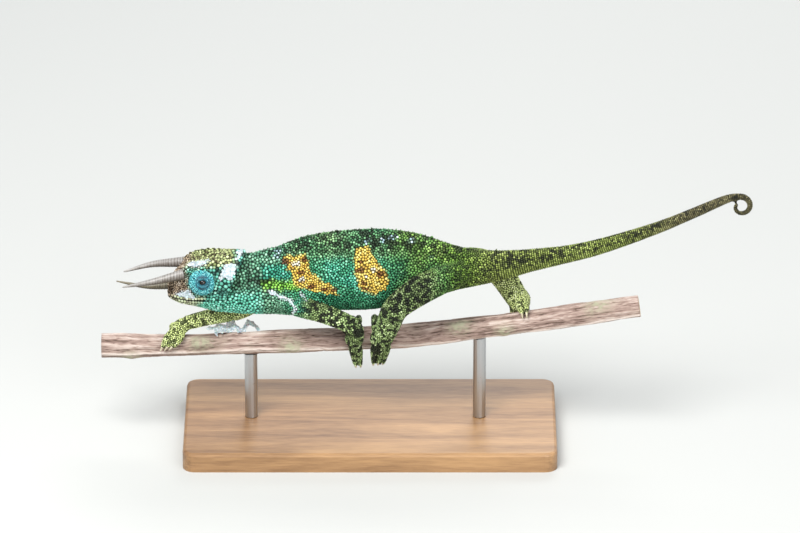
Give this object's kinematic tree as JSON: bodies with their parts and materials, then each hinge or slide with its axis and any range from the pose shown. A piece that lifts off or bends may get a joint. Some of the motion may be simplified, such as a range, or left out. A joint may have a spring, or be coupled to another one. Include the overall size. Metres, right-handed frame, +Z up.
{
  "type": "jacksons chameleon",
  "caption": "Life-size still model of a male Jackson's chameleon with its horns, gripping a cut branch held over a flat base by short rods",
  "frame": {"origin": "centre of the underside of the stand's base", "axes": "+Z up; the animal faces -X along the branch, its left side faces -Y"},
  "size_m": [0.2607, 0.07, 0.1067],
  "materials": {
    "skin_head": "fine scaly skin, tan snout and teal cheeks",
    "skin_body": "fine scaly skin, green and teal with orange-yellow blotches",
    "skin_tail": "fine scaly skin in rings, olive with dark flecks",
    "skin_limbs": "fine scaly skin, olive mottled with black",
    "horn": "ringed horn",
    "eyelid": "fine beaded skin",
    "eyeball": "wet gloss",
    "bark": "rough bark",
    "stand_wood": "satin oak",
    "stand_steel": "brushed"
  },
  "bodies": {
    "root": {"head": "skin_head", "lower_jaw": "skin_head", "horn_rostral": "horn", "horn_preocular_left": "horn", "horn_preocular_right": "horn", "eye_left": "eyelid", "eye_right": "eyelid", "eyeball_left": "eyeball", "eyeball_right": "eyeball", "neck": "skin_body", "torso": "skin_body", "tail_base": "skin_tail", "tail_middle": "skin_tail", "tail_tip": "skin_tail", "upper_leg_front_left": "skin_limbs", "lower_leg_front_left": "skin_limbs", "foot_front_left": "skin_limbs", "upper_leg_front_right": "skin_limbs", "lower_leg_front_right": "skin_limbs", "foot_front_right": "skin_limbs", "upper_leg_hind_left": "skin_limbs", "lower_leg_hind_left": "skin_limbs", "foot_hind_left": "skin_limbs", "upper_leg_hind_right": "skin_limbs", "lower_leg_hind_right": "skin_limbs", "foot_hind_right": "skin_limbs", "perch_branch": "bark", "stand_base": "stand_wood", "stand_rod_front": "stand_steel", "stand_rod_rear": "stand_steel"}
  },
  "joints": []
}
